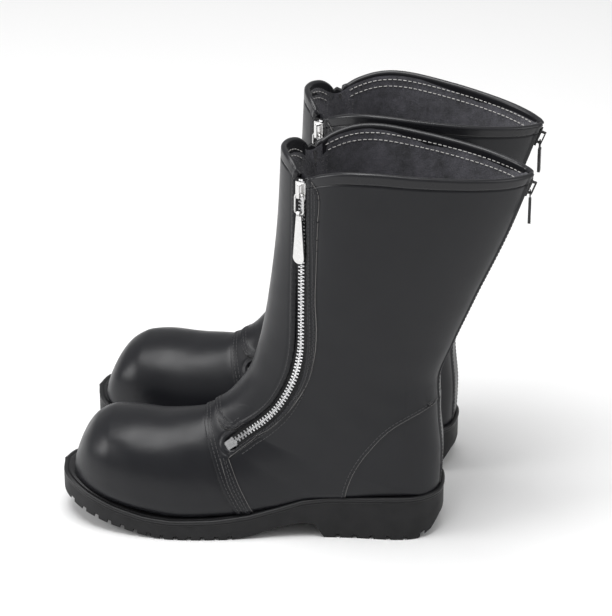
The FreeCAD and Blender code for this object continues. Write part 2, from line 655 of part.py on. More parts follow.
def tab(name):
    """The pull tab: a paddle that widens to a round end, with an eye for the link."""
    along, height = tab_hinge()
    body = doc.addObject("PartDesign::Body", name + "_paddle")
    sketch = body.newObject("Sketcher::SketchObject", name + "_outline")
    plane = next(o for o in body.Origin.OriginFeatures if o.Role == "XY_Plane")
    sketch.AttachmentSupport = [(plane, "")]
    sketch.MapMode = "FlatFace"
    neck, end = dim("tab_neck") / 2, dim("tab_end") / 2
    top, low = -dim("eye_bore") - 0.5, -dim("tab_length") + end
    points = [(-neck, top), (neck, top), (end, low), (-end, low)]
    for k in (0, 1, 3):
        a, b = points[k], points[(k + 1) % 4]
        sketch.addGeometry(Part.LineSegment(Vector(*a, 0), Vector(*b, 0)))
    sketch.addGeometry(Part.ArcOfCircle(Part.Circle(Vector(0, low, 0), Vector(0, 0, 1), end), math.pi, 2 * math.pi))
    pad = body.newObject("PartDesign::Pad", name + "_pad")
    pad.Profile = sketch
    pad.Midplane = True
    pad.setExpression("Length", "dims.tab_thick")
    body.Placement = FreeCAD.Placement(Vector(0, along, height), FreeCAD.Rotation())
    across = FreeCAD.Rotation(Vector(0, 1, 0), 90)
    cylinders = []
    for part, alias in (("eye", "eye_radius"), ("bore", "eye_bore")):
        made = doc.addObject("Part::Cylinder", f"{name}_{part}")
        made.setExpression("Radius", f"dims.{alias} * 1 mm")
        made.setExpression("Height", "dims.bridge_width * 1 mm" if part == "eye" else "20 mm")
        offset = -dim("bridge_width") / 2 if part == "eye" else -10
        made.Placement = FreeCAD.Placement(Vector(offset, along, height), across)
        cylinders.append(made)
    whole = fused(name + "_whole", [body, cylinders[0]])
    cut = doc.addObject("Part::Cut", name)
    cut.Base, cut.Tool = whole, cylinders[1]
    return cut


def rear_pull(name):
    """The rear zip's pull: a wire loop with a narrow flat tab."""
    along, height = hinge_spot(dim("rear_scale"))
    length = 8.0
    parts = wire_ring(name, along, height, length, "link_width", dim("rear_scale") * 0.7)
    plate = box(name + "_plate", ("5.4 mm", "dims.rear_tab_length * 1 mm", "2.2 mm"),
                ("-2.7", f"{along} - dims.rear_tab_length - {length} + 1.4", f"{height} - 1.1"))
    return fused(name, [*parts, plate])


def make_rear_zip():
    """The rear zip: tape with its coil, slider and pull."""
    frames = rear_zip_frames()
    edge = REAR_SLOT_HALF - 0.2
    thick = dim("tape_half_thick")
    tape = [strip(frames, *sorted((side * 2.45, side * edge)), -thick, thick) for side in (1, -1)]
    coil = chain_solids(frames, 2.4, 0.35, 1.0, False)
    feature("rear_zip_tape", Part.makeCompound([*tape, *coil]))
    point, normal, along = frames[0]
    place = frame_placement(point + along * 8.0, normal, along)
    hung = place.multiply(hang(place, hinge_spot(dim("rear_scale"))))
    node("rear_zip_slider", slider("rear_slider", dim("rear_scale")), place)
    node("rear_zip_tab", rear_pull("rear_pull"), hung)
    return place, hung


def mirror_right():
    """The right boot: each left sub-part mirrored in the plane x = 0."""
    made = []
    for source in left_nodes:
        mirrored = doc.addObject("Part::Mirroring", "right_" + source.Name)
        mirrored.Source = source
        mirrored.Normal = (1, 0, 0)
        mirrored.Label = source.Label.replace("left_", "right_", 1)
        made.append(mirrored)
    return made


def build():
    """Makes every sub-part and returns the document objects and the sliders' placements."""
    gaps = make_upper()
    make_inside(gaps)
    make_sole()
    places = {
        "outer": make_front_zip("outer", 1),
        "inner": make_front_zip("inner", -1),
        "rear": make_rear_zip(),
    }
    doc.recompute()
    right = mirror_right()
    doc.recompute()
    return [*left_nodes, *right], places


def check_and_write(nodes):
    """Stops on any failed object or bad shape, then writes one STEP file for each sub-part."""
    failed = [o.Name for o in doc.Objects if {"Invalid", "Error"} & set(o.State)]
    failed += [o.Label for o in nodes if o.Shape.isNull() or not o.Shape.isValid() or not o.Shape.Solids]
    if failed:
        raise RuntimeError(f"these objects failed: {failed}")
    os.makedirs("parts", exist_ok=True)
    for obj in nodes:
        obj.Shape.exportStep(os.path.join("parts", obj.Label + ".step"))


NODES, PLACES = build()
check_and_write(NODES)
for obj in NODES[: len(left_nodes)]:
    print(f"{obj.Label}: {len(obj.Shape.Solids)} solids, {obj.Shape.Volume / 1000:.2f} cm3")
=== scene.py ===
"""Black leather fire boots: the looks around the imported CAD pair.

Lengths are millimetres in a boot's own frame (x outwards, -y to the toe, z up) until placed() turns
them into the row frame in metres.
"""
import json
import math

import bpy
import numpy as np
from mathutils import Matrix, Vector, noise
from mathutils.bvhtree import BVHTree
from mathutils.kdtree import KDTree


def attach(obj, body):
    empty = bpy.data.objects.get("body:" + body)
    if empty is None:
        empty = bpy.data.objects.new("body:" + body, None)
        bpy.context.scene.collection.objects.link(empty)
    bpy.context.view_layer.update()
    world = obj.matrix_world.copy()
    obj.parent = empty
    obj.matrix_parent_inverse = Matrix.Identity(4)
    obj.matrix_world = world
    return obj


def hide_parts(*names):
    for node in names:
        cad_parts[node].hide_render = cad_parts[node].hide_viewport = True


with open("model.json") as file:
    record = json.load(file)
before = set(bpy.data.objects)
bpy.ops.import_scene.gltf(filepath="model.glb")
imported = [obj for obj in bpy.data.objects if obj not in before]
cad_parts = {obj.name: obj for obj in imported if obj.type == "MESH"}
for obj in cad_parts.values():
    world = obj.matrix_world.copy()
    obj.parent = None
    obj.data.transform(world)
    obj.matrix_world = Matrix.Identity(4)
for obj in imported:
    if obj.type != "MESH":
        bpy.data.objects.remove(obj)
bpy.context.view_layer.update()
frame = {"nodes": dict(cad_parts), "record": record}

TOE_OUT = math.radians(3.26)
HEEL_SPACING = 104.0
HALF_SOLE = 150.0
REAR_REACH = 212.45
Y_SHIFT = (REAR_REACH - HALF_SOLE) / 2
LINING_INSET = 4.6
CHAIN_DEPTH = 2.2
REAR_DEPTH = 1.6
CHAIN_STEP = 0.25

# Stations of the boot's form: front y, z; back y, z; half width; centre x; widest share; squareness in
# front and behind.
STATIONS = np.array([
    (24, 330, 220.5, 326, 51, 0, 0.34, 1.85, 1.65),
    (20, 250, 194, 250, 47, 0, 0.35, 1.8, 1.75),
    (14, 197, 171, 197, 43, 0, 0.37, 1.9, 1.9),
    (7.5, 160, 155.5, 160, 39.5, 0, 0.40, 2.0, 2.1),
    (-2, 127, 144.8, 127, 37.5, 0, 0.44, 2.1, 2.4),
    (-13, 110, 145.5, 98, 37, 0, 0.47, 2.1, 2.6),
    (-22, 100.5, 148, 66, 37, 0, 0.50, 2.1, 2.7),
    (-28, 96, 146, 33, 37.5, 0, 0.55, 2.1, 3.0),
    (-32, 93, 105, 31, 37, 0.5, 0.62, 2.2, 4),
    (-37, 90, 62, 29, 37, 1, 0.66, 2.2, 4.5),
    (-44, 87.5, 24, 20, 40, 1.5, 0.68, 2.2, 4.5),
    (-56, 85.5, -14, 14, 44, 2.5, 0.68, 2.2, 4.5),
    (-72, 84, -50, 12, 46.5, 3, 0.66, 2.2, 4.5),
    (-92, 85, -82, 15, 46, 2, 0.62, 2.2, 4.2),
    (-108, 84, -106, 19, 43, 0, 0.60, 2.2, 4),
    (-121, 78, -122, 23, 37, -2, 0.60, 2.2, 3.6),
    (-131, 66, -133, 27, 28, -4, 0.60, 2.2, 3.2),
    (-137, 52, -139.5, 31, 17, -5, 0.60, 2.2, 2.8),
    (-139.5, 44, -141, 35, 8, -6, 0.60, 2.1, 2.4),
])
COLLAR_EDGE = [(8, 311), (22, 312), (31, 308.5), (38, 301.5), (43, 299), (48, 301), (56, 305), (72, 309.5),
               (92, 310.5), (130, 306.5), (170, 301.5), (206, 297), (235, 294)]
FEATHER = [(-155, 39), (-125, 29), (-105, 23), (-80, 18), (-60, 16.2), (-26, 17), (2, 20.5), (23, 26),
           (42, 32), (62, 34.5), (110, 36.5), (165, 37)]
SOLE_OUTLINE = [(-6, -150), (16, -146), (35, -128), (47, -98), (52, -62), (49, -20), (42, 20), (37, 60),
                (36.5, 100), (33, 130), (19, 146.5), (0, 150), (-19, 146.5), (-33, 130), (-35, 100),
                (-34, 60), (-36, 20), (-41, -20), (-46, -60), (-46, -95), (-40, -124), (-25, -143)]
ZIP_LINE = [(40.5, 299), (40.3, 250), (40.1, 205), (40, 166), (38.8, 153), (36, 139), (30, 123.5), (22, 109),
            (10.5, 95.5), (-2, 84.5), (-13, 76.5)]
FACING = [(49, 300), (54, 292), (53.5, 262), (52.6, 230), (52, 205), (53, 181), (51.5, 159), (45, 132),
          (32, 109), (17, 92), (0, 78), (-9, 71), (-15, 66)]
FACING_FOOT = [(-15, 66), (-12.5, 60), (-6, 44), (3, 24), (7, 14)]
BAND_LINE = [(-21, 66), (-19, 60), (-13.5, 44), (-4, 24), (0, 14)]
VAMP_SEAM = [(0, -36.9, 90.2), (6, -36.4, 90), (18.5, -35, 85.5), (29.5, -31.4, 76), (38, -25.8, 61),
             (42, -19.5, 44), (44, -8, 20), (44, -4, 10)]
PANEL_END = [(0, -27.5, 94), (9, -27, 93), (17.5, -24.5, 89), (23, -20, 85.5), (26, -13, 86.5), (27, -5, 92)]
COUNTER = [(154, 113), (141, 110.5), (127, 105.5), (109, 95.5), (94, 79), (82.5, 61), (76, 43), (73, 22)]
BACK_RIDGE = [(206, 293), (195, 254), (184, 226), (172, 200), (161, 172), (152, 149), (146, 132), (145, 110),
              (147, 80), (148, 38)]
BACKSTAY_HALF = 9.5
REAR_ZIP_POINTS = 7


# ------------------------------------------------------------------ curves and the form
def smooth_line(points, step=0.5):
    """Points about step apart along a centripetal curve through the given ones."""
    p = np.array(points, float)
    p = np.vstack([2 * p[0] - p[1], p, 2 * p[-1] - p[-2]])
    out = []
    for a, b, c, d in zip(p[:-3], p[1:-2], p[2:-1], p[3:]):
        count = max(int(np.linalg.norm(c - b) / step * 1.5), 2)
        k = [0.0]
        for q, r in ((a, b), (b, c), (c, d)):
            k.append(k[-1] + max(np.linalg.norm(r - q), 1e-6) ** 0.5)
        t = np.linspace(k[1], k[2], count, endpoint=False)[:, None]
        ab = (k[1] - t) / (k[1] - k[0]) * a + (t - k[0]) / (k[1] - k[0]) * b
        bc = (k[2] - t) / (k[2] - k[1]) * b + (t - k[1]) / (k[2] - k[1]) * c
        cd = (k[3] - t) / (k[3] - k[2]) * c + (t - k[2]) / (k[3] - k[2]) * d
        abc = (k[2] - t) / (k[2] - k[0]) * ab + (t - k[0]) / (k[2] - k[0]) * bc
        bcd = (k[3] - t) / (k[3] - k[1]) * bc + (t - k[1]) / (k[3] - k[1]) * cd
        out.append((k[2] - t) / (k[2] - k[1]) * abc + (t - k[1]) / (k[2] - k[1]) * bcd)
    out.append(p[-2:-1])
    return resample(np.vstack(out), step)


def smoothed(values, times):
    """Runs of values evened out, their ends kept."""
    values = np.array(values, float)
    for _ in range(times):
        values[1:-1] = (values[:-2] + 2 * values[1:-1] + values[2:]) / 4
    return values


def resample(points, step):
    length = np.concatenate([[0], np.cumsum(np.linalg.norm(np.diff(points, axis=0), axis=1))])
    s = np.linspace(0, length[-1], max(int(round(length[-1] / step)), 2) + 1)
    return np.stack([np.interp(s, length, points[:, k]) for k in range(points.shape[1])], axis=1)


def station_table(step=0.02):
    """Stations carried smoothly from one to the next, every step, from a little above the first."""
    diff = np.diff(STATIONS, axis=0)
    slope = np.zeros_like(STATIONS)
    a, b = diff[:-1], diff[1:]
    same = a * b > 0
    slope[1:-1][same] = 2 * a[same] * b[same] / (a[same] + b[same])
    slope[0], slope[-1] = diff[0], diff[-1]
    t = np.arange(-0.1, len(STATIONS) - 1 + 1e-9, step)
    i = np.clip(t.astype(int), 0, len(STATIONS) - 2)
    u = (t - i)[:, None]
    rows = ((2 * u**3 - 3 * u**2 + 1) * STATIONS[i] + (u**3 - 2 * u**2 + u) * slope[i]
            + (-2 * u**3 + 3 * u**2) * STATIONS[i + 1] + (u**3 - u**2) * slope[i + 1])
    low = t < 0
    rows[low] = STATIONS[0] + t[low, None] * slope[0]
    return t, rows


def loop_table(rows, columns, inset):
    """Points round each station, evenly spaced along its outline from the front ridge by the outer side."""
    angle = np.linspace(0, math.pi, 721)
    c, s = np.cos(angle), np.sin(angle)
    half = columns // 2
    table = np.zeros((len(rows), columns, 3))
    for k, (fy, fz, by, bz, w, cx, m, nf, nb) in enumerate(rows):
        length = math.hypot(by - fy, bz - fz)
        uy, uz = (by - fy) / length, (bz - fz) / length
        n = np.where(c > 0, nf, nb)
        along = np.abs(c) ** (2 / n)
        share = np.where(c > 0, m * (1 - along), m + (1 - m) * along)
        reach = max(length - 2 * inset, 1.0)
        d, x = share * reach, np.abs(s) ** (2 / n) * max(w - inset, 0.5)
        run = np.concatenate([[0], np.cumsum(np.hypot(np.diff(d), np.diff(x)))])
        at = np.linspace(0, run[-1], half + 1)
        d, x = np.interp(at, run, d), np.interp(at, run, x)
        y, z = fy + uy * (d + inset), fz + uz * (d + inset)
        table[k, : half + 1] = np.stack([cx + x, y, z], axis=1)
        table[k, half + 1:] = np.stack([cx - x, y, z], axis=1)[1:-1][::-1]
    return table


def collar_height(y):
    line = smooth_line(COLLAR_EDGE, 1.0)
    return np.interp(y, line[:, 0], line[:, 1])


def boot_grid(columns, row_step, inset=0.0, below_rim=0.0):
    """Points (row, column) down the form from the collar's edge, rows about row_step apart."""
    t, rows = station_table()
    table = loop_table(rows, columns, inset)
    moves = np.linalg.norm(np.diff(table, axis=0), axis=2).max(axis=1)
    run = np.concatenate([[0], np.cumsum(moves)])
    start = np.interp(0.0, t, run)
    t_rows = np.interp(np.arange(start, run[-1], row_step), run, t)
    blend = np.clip(1 - t_rows / 1.4, 0, 1)
    grid = np.zeros((len(t_rows), columns, 3))
    for j in range(columns):
        column = table[:, j]
        miss = column[:, 2] - collar_height(column[:, 1]) + below_rim
        first = int(np.argmax(miss <= 0))
        a, b = miss[first - 1], miss[first]
        t_rim = t[first - 1] + (t[first] - t[first - 1]) * a / (a - b)
        tt = t_rows + t_rim * blend
        for k in range(3):
            grid[:, j, k] = np.interp(tt, t, column[:, k])
    return grid


def grid_normals(grid):
    down = np.gradient(grid, axis=0)
    across = (np.roll(grid, -1, axis=1) - np.roll(grid, 1, axis=1)) / 2
    n = np.cross(down, across)
    n /= np.maximum(np.linalg.norm(n, axis=2, keepdims=True), 1e-9)
    middle = grid.mean(axis=1, keepdims=True)
    if np.sum(n[: len(n) // 2] * (grid - middle)[: len(n) // 2]) < 0:
        n = -n
    return n


def grid_faces(rows, columns, closed=True):
    i, j = np.meshgrid(np.arange(rows - 1), np.arange(columns if closed else columns - 1), indexing="ij")
    a, b = i * columns + j, i * columns + (j + 1) % columns
    return np.stack([a, b, b + columns, a + columns], axis=-1).reshape(-1, 4)


def placed(points, hand):
    """Boot frame in mm to the row frame in metres; hand is 1 for the left boot, -1 for the right."""
    p = np.asarray(points, float)
    c, s = math.cos(TOE_OUT), math.sin(TOE_OUT)
    x, y = p[:, 0], p[:, 1] - HALF_SOLE
    out = np.stack([x * c - y * s + HEEL_SPACING / 2, x * s + y * c + HALF_SOLE - Y_SHIFT, p[:, 2]], axis=1)
    out[:, 0] *= hand
    return out / 1000


def make_mesh(name, points, faces, hand, body, material, smooth=True, replaces=()):
    """A mesh object from points in the boot frame, riding on a CAD body."""
    name = name.replace(" ", "_")
    mesh = bpy.data.meshes.new(name)
    faces = np.asarray(faces)
    if hand < 0:
        faces = faces[:, ::-1]
    mesh.from_pydata(placed(points, hand).tolist(), [], faces.tolist())
    mesh.validate()
    if smooth:
        mesh.polygons.foreach_set("use_smooth", [True] * len(mesh.polygons))
    mesh.materials.append(material)
    obj = bpy.data.objects.new(name, mesh)
    bpy.context.scene.collection.objects.link(obj)
    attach(obj, body)
    if replaces:
        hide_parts(*replaces)
    return obj


# ------------------------------------------------------------------ curves that lie on the form
class Curve:
    """A curve on the leather: points, inward normals, and a side direction (normal x tangent)."""

    def __init__(self, points, tree):
        self.points = np.array(points, float)
        self.normals = np.zeros_like(self.points)
        for k, p in enumerate(points):
            spot, normal, _, _ = tree.find_nearest(Vector(p))
            self.points[k] = spot
            self.normals[k] = normal
        for _ in range(3):
            self.normals[1:-1] = (self.normals[:-2] + self.normals[1:-1] + self.normals[2:]) / 3
        self.normals /= np.linalg.norm(self.normals, axis=1, keepdims=True)
        tangent = np.gradient(self.points, axis=0)
        tangent /= np.linalg.norm(tangent, axis=1, keepdims=True)
        self.tangents = tangent
        self.sides = np.cross(self.normals, tangent)
        self.kd = KDTree(len(self.points))
        for k, p in enumerate(self.points):
            self.kd.insert(p, k)
        self.kd.balance()

    def distance(self, points, reach):
        """Signed distance of each point, positive on the side direction's side; far points get reach * 9."""
        low, high = self.points.min(axis=0) - reach, self.points.max(axis=0) + reach
        near = np.all((points > low) & (points < high), axis=1)
        signed = np.full(len(points), reach * 9.0)
        index = np.zeros(len(points), int)
        for i in np.nonzero(near)[0]:
            _, k, d = self.kd.find(points[i])
            index[i] = k
            signed[i] = d
        sign = np.sum((points - self.points[index]) * self.sides[index], axis=1)
        return np.where(near, np.where(sign < 0, -signed, signed), reach * 9.0), index


def on_side(line, side, tree):
    """3D points on the form for a side-view line; side is 1 outer, -1 inner."""
    out = []
    for y, z in smooth_line(line):
        hit = tree.ray_cast(Vector((200 * side, y, z)), Vector((-side, 0, 0)))[0]
        if hit is None:
            hit = tree.find_nearest(Vector((30 * side, y, z)))[0]
        out.append(hit)
    return np.array(out)


def over_ridge(half_line):
    """A 3D line over the instep from its outer half, which starts on the ridge."""
    inner = [(-x, y, z) for x, y, z in half_line[1:]]
    return smooth_line([*reversed(inner), *half_line])


def snap(points, curve, levels, reach):
    """Moves points near a curve to the given distances from it, so that edges come out clean."""
    d, index = curve.distance(points, reach + 2)
    levels = sorted(levels)
    for i, level in enumerate(levels):
        low = level - reach if i == 0 else (levels[i - 1] + level) / 2
        high = level + reach if i == len(levels) - 1 else (levels[i + 1] + level) / 2
        hit = (d > low) & (d <= high) & (np.abs(d) > 1e-3)
        away = (points[hit] - curve.points[index[hit]]) / d[hit, None]
        points[hit] += away * (level - d[hit, None])
    return points


# ------------------------------------------------------------------ materials
def material(name, color, roughness, metallic=0.0, **extra):
    mat = bpy.data.materials.new(name)
    mat.use_nodes = True
    shader = mat.node_tree.nodes["Principled BSDF"]
    shader.inputs["Base Color"].default_value = (*color, 1)
    shader.inputs["Roughness"].default_value = roughness
    shader.inputs["Metallic"].default_value = metallic
    for key, value in extra.items():
        shader.inputs[key.replace("_", " ")].default_value = value
    return mat


def noise_node(mat, scale, detail=3.0, rough=0.5):
    nodes, links = mat.node_tree.nodes, mat.node_tree.links
    coords = nodes.new("ShaderNodeTexCoord")
    tex = nodes.new("ShaderNodeTexNoise")
    tex.inputs["Scale"].default_value = scale
    tex.inputs["Detail"].default_value = detail
    tex.inputs["Roughness"].default_value = rough
    links.new(coords.outputs["Object"], tex.inputs["Vector"])
    return tex


def vary(mat, socket, tex, low, high, start=0.3, end=0.7):
    nodes, links = mat.node_tree.nodes, mat.node_tree.links
    span = nodes.new("ShaderNodeMapRange")
    span.inputs["From Min"].default_value = start
    span.inputs["From Max"].default_value = end
    span.inputs["To Min"].default_value = low
    span.inputs["To Max"].default_value = high
    links.new(tex.outputs[0], span.inputs["Value"])
    links.new(span.outputs["Result"], nodes["Principled BSDF"].inputs[socket])


def mottle(mat, tex, dark, light, start=0.35, end=0.65):
    nodes, links = mat.node_tree.nodes, mat.node_tree.links
    ramp = nodes.new("ShaderNodeValToRGB")
    ramp.color_ramp.elements[0].position, ramp.color_ramp.elements[1].position = start, end
    ramp.color_ramp.elements[0].color = (*dark, 1)
    ramp.color_ramp.elements[1].color = (*light, 1)
    links.new(tex.outputs[0], ramp.inputs["Fac"])
    links.new(ramp.outputs["Color"], nodes["Principled BSDF"].inputs["Base Color"])


def bump(mat, textures, strength=1.0):
    """Chains bumps from (texture, depth in metres) pairs."""
    nodes, links = mat.node_tree.nodes, mat.node_tree.links
    last = None
    for tex, depth in textures:
        node = nodes.new("ShaderNodeBump")
        node.inputs["Strength"].default_value = strength
        node.inputs["Distance"].default_value = depth
        links.new(tex.outputs[0], node.inputs["Height"])
        if last:
            links.new(last.outputs["Normal"], node.inputs["Normal"])
        last = node
    links.new(last.outputs["Normal"], nodes["Principled BSDF"].inputs["Normal"])


def leather_material(name, color, roughness, specular):
    mat = material(name, color, roughness, Specular_IOR_Level=specular)
    vary(mat, "Roughness", noise_node(mat, 45, 4), roughness - 0.05, roughness + 0.07)
    bump(mat, [(noise_node(mat, 1300, 2), 0.00006), (noise_node(mat, 160, 3), 0.00012)], 0.6)
    return mat


LEATHER = leather_material("black leather", (0.0085, 0.0088, 0.0108), 0.35, 0.3)
COLLAR = leather_material("collar leather", (0.011, 0.011, 0.013), 0.30, 0.38)
LINING = material("charcoal felt lining", (0.05, 0.05, 0.06), 0.95, Sheen_Weight=0.35, Sheen_Roughness=0.5)
mottle(LINING, noise_node(LINING, 60, 8, 0.75), (0.022, 0.022, 0.027), (0.085, 0.083, 0.1))
bump(LINING, [(noise_node(LINING, 900, 6, 0.8), 0.0011), (noise_node(LINING, 130, 3), 0.0012)], 0.9)
RUBBER = material("sole rubber", (0.010, 0.010, 0.0108), 0.55, Specular_IOR_Level=0.28)
vary(RUBBER, "Roughness", noise_node(RUBBER, 80, 5), 0.46, 0.66)
bump(RUBBER, [(noise_node(RUBBER, 900, 3), 0.0001), (noise_node(RUBBER, 120, 3), 0.0002)], 0.6)
WELT = material("welt rubber", (0.012, 0.012, 0.013), 0.42, Specular_IOR_Level=0.32)
bump(WELT, [(noise_node(WELT, 900, 3), 0.00008)], 0.5)
TAPE = material("zip tape", (0.008, 0.008, 0.009), 0.85)
bump(TAPE, [(noise_node(TAPE, 2200, 2), 0.0003)], 0.7)
SILVER = material("silver metal", (0.72, 0.72, 0.73), 0.26, 1.0)
vary(SILVER, "Roughness", noise_node(SILVER, 400, 3), 0.2, 0.36)
PULL = material("pull metal", (0.66, 0.655, 0.65), 0.3, 1.0)
vary(PULL, "Roughness", noise_node(PULL, 300, 4), 0.22, 0.42)
bump(PULL, [(noise_node(PULL, 500, 3), 0.00008)], 0.5)
BLACK_METAL = material("black metal", (0.012, 0.012, 0.013), 0.35)
vary(BLACK_METAL, "Roughness", noise_node(BLACK_METAL, 300, 3), 0.28, 0.45)
PALE_THREAD = material("pale thread", (0.42, 0.41, 0.40), 0.7)
vary(PALE_THREAD, "Roughness", noise_node(PALE_THREAD, 1500, 2), 0.6, 0.85)
DARK_THREAD = material("black thread", (0.042, 0.042, 0.044), 0.5)
vary(DARK_THREAD, "Roughness", noise_node(DARK_THREAD, 1500, 2), 0.45, 0.7)
# Pale grey for thin tubes along the panel edges: a painted highlight standing in for the light caught by the
# raised leather edges.
EDGE_HIGHLIGHT_PAINT = material("painted edge highlight", (0.15, 0.146, 0.143), 0.6)
vary(EDGE_HIGHLIGHT_PAINT, "Roughness", noise_node(EDGE_HIGHLIGHT_PAINT, 600, 3), 0.5, 0.75)
BOARD = material("fibre board", (0.06, 0.05, 0.04), 0.8)
mottle(BOARD, noise_node(BOARD, 200, 3), (0.05, 0.04, 0.035), (0.08, 0.07, 0.06))

SLOT_MATERIALS = {
    "sole_rubber": RUBBER, "welt_rubber": WELT, "board": BOARD, "spring_steel": SILVER,
    "lining_felt": LINING, "black_leather": LEATHER, "collar_leather": COLLAR, "zip_tape": TAPE,
    "zip_metal": SILVER, "pull_metal": PULL, "black_metal": BLACK_METAL,
}


def soft_edges(obj, width, segments):
    bevel = obj.modifiers.new("soft edges", "BEVEL")
    bevel.width, bevel.segments, bevel.limit_method = width, segments, "ANGLE"


slots = {s["node"]: s["material_slot"] for s in frame["record"]["subparts"]}
for name, obj in frame["nodes"].items():
    obj.data.materials.clear()
    obj.data.materials.append(SLOT_MATERIALS[slots[name]])
    if name.endswith(("slider", "link", "zip_tab")):
        soft_edges(obj, 0.00028, 2)
    if name.endswith(("outsole", "heel_block")):
        soft_edges(obj, 0.0007, 2)


# ------------------------------------------------------------------ strips, tubes and stitches
def frames_along(points, normals):
    tangent = smoothed(np.gradient(points, axis=0), 12)
    tangent /= np.linalg.norm(tangent, axis=1, keepdims=True)
    normals = normals - tangent * np.sum(normals * tangent, axis=1, keepdims=True)
    normals /= np.linalg.norm(normals, axis=1, keepdims=True)
    return tangent, normals, np.cross(normals, tangent)


def tube(points, normals, radius, sides=6, flat=1.0):
    tangent, normal, side = frames_along(points, normals)
    angle = np.arange(sides) * 2 * math.pi / sides
    across, up = np.cos(angle)[None, :, None], np.sin(angle)[None, :, None] * flat
    ring = side[:, None] * across + normal[:, None] * up
    verts = (points[:, None] + ring * radius).reshape(-1, 3)
    faces = grid_faces(len(points), sides).tolist()
    return verts, faces


def gather(parts):
    """Joins (verts, faces) lists; faces may be quads only."""
    verts, faces, base = [], [], 0
    for v, f in parts:
        verts.append(v)
        faces.append(np.asarray(f) + base)
        base += len(v)
    return np.vstack(verts), np.vstack(faces)


def box_part(centre, axes, low, high, taper=1.0):
    """A box in the axes (3 x 3 rows); the far end along the first axis is scaled by taper."""
    corners = []
    for x in (low[0], high[0]):
        k = taper if x == high[0] else 1.0
        for y, z in ((low[1], low[2]), (high[1], low[2]), (high[1], high[2]), (low[1], high[2])):
            corners.append(centre + axes[0] * x + axes[1] * y * k + axes[2] * z * k)
    faces = [(0, 1, 2, 3), (7, 6, 5, 4), (0, 4, 5, 1), (1, 5, 6, 2), (2, 6, 7, 3), (3, 7, 4, 0)]
    return np.array(corners), faces


def stitches(points, normals, length=2.3, gap=1.0, radius=0.3, lift=0.12, flat=0.8):
    """Short thread capsules along a curve."""
    run = np.concatenate([[0], np.cumsum(np.linalg.norm(np.diff(points, axis=0), axis=1))])
    parts = []
    for start in np.arange(0.5, run[-1] - length, length + gap):
        at = start + np.array([0, 0.12, 0.35, 0.65, 0.88, 1.0]) * length
        p = np.stack([np.interp(at, run, points[:, k]) for k in range(3)], axis=1)
        n = np.stack([np.interp(at, run, normals[:, k]) for k in range(3)], axis=1)
        rise = np.array([-0.25, 0.05, 0.15, 0.15, 0.05, -0.25]) * radius * 1.2
        p = p + n * (rise + lift)[:, None]
        v, f = tube(p, n, radius, 6, flat)
        parts.append((v, f))
    return gather(parts)


def shifted(curve, offset, tree, lift=0.0):
    """The curve moved sideways by offset and laid back on the final surface."""
    points = curve.points + curve.sides * offset
    out, normals = [], []
    for p in points:
        spot, normal, _, _ = tree.find_nearest(Vector(p))
        out.append(spot)
        normals.append(normal)
    out, normals = np.array(out), np.array(normals)
    for _ in range(4):
        out[1:-1] = (out[:-2] + 2 * out[1:-1] + out[2:]) / 4
        normals[1:-1] = (normals[:-2] + normals[1:-1] + normals[2:]) / 3
    normals /= np.linalg.norm(normals, axis=1, keepdims=True)
    return out + normals * lift, normals


# ------------------------------------------------------------------ the leather upper
COLUMNS = 400
grid = boot_grid(COLUMNS, 1.15)
rows = len(grid)
faces = grid_faces(rows, COLUMNS)
coarse = BVHTree.FromPolygons([tuple(p) for p in grid.reshape(-1, 3)], faces.tolist())

zips = {side: Curve(on_side(ZIP_LINE, side, coarse), coarse) for side in (1, -1)}
facings = {side: Curve(on_side(FACING, side, coarse), coarse) for side in (1, -1)}
feet = {side: Curve(on_side(FACING_FOOT, side, coarse), coarse) for side in (1, -1)}
bands = {side: Curve(on_side(BAND_LINE, side, coarse), coarse) for side in (1, -1)}
counters = {side: Curve(on_side(COUNTER, side, coarse), coarse) for side in (1, -1)}
vamp_seam = Curve(over_ridge(VAMP_SEAM), coarse)
panel_end = Curve(over_ridge(PANEL_END), coarse)
backs = {side: Curve(smooth_line([(BACKSTAY_HALF * side, y, z) for y, z in BACK_RIDGE]), coarse)
         for side in (1, -1)}
rear_zip = Curve(smooth_line([(0, y, z) for y, z in BACK_RIDGE[:REAR_ZIP_POINTS]]), coarse)

points = grid.reshape(-1, 3).copy()
normals = grid_normals(grid).reshape(-1, 3)
GAP_LEVELS = [(zips[1], 4.2, 5.4), (zips[-1], 4.2, 5.4), (rear_zip, 3.4, 4.6)]
for curve, inner, outer in GAP_LEVELS:
    snap(points, curve, [-outer, -inner, inner, outer], 0.6)
# Each seam: its curve, the side of the upper layer, and how far the leather stands up and dips beside it.
SEAMS = []
for side in (1, -1):
    SEAMS += [(facings[side], side, 0.75, 0.55), (feet[side], side, 0.7, 0.5),
              (bands[side], -side, 0.7, 0.55), (counters[side], side, 0.75, 0.55),
              (backs[side], -side, 0.55, 0.45)]
SEAMS += [(vamp_seam, -1, 0.95, 0.75), (panel_end, -1, 1.1, 0.9)]
for curve, _, _, _ in SEAMS:
    snap(points, curve, [-0.35, 0.35], 0.65)

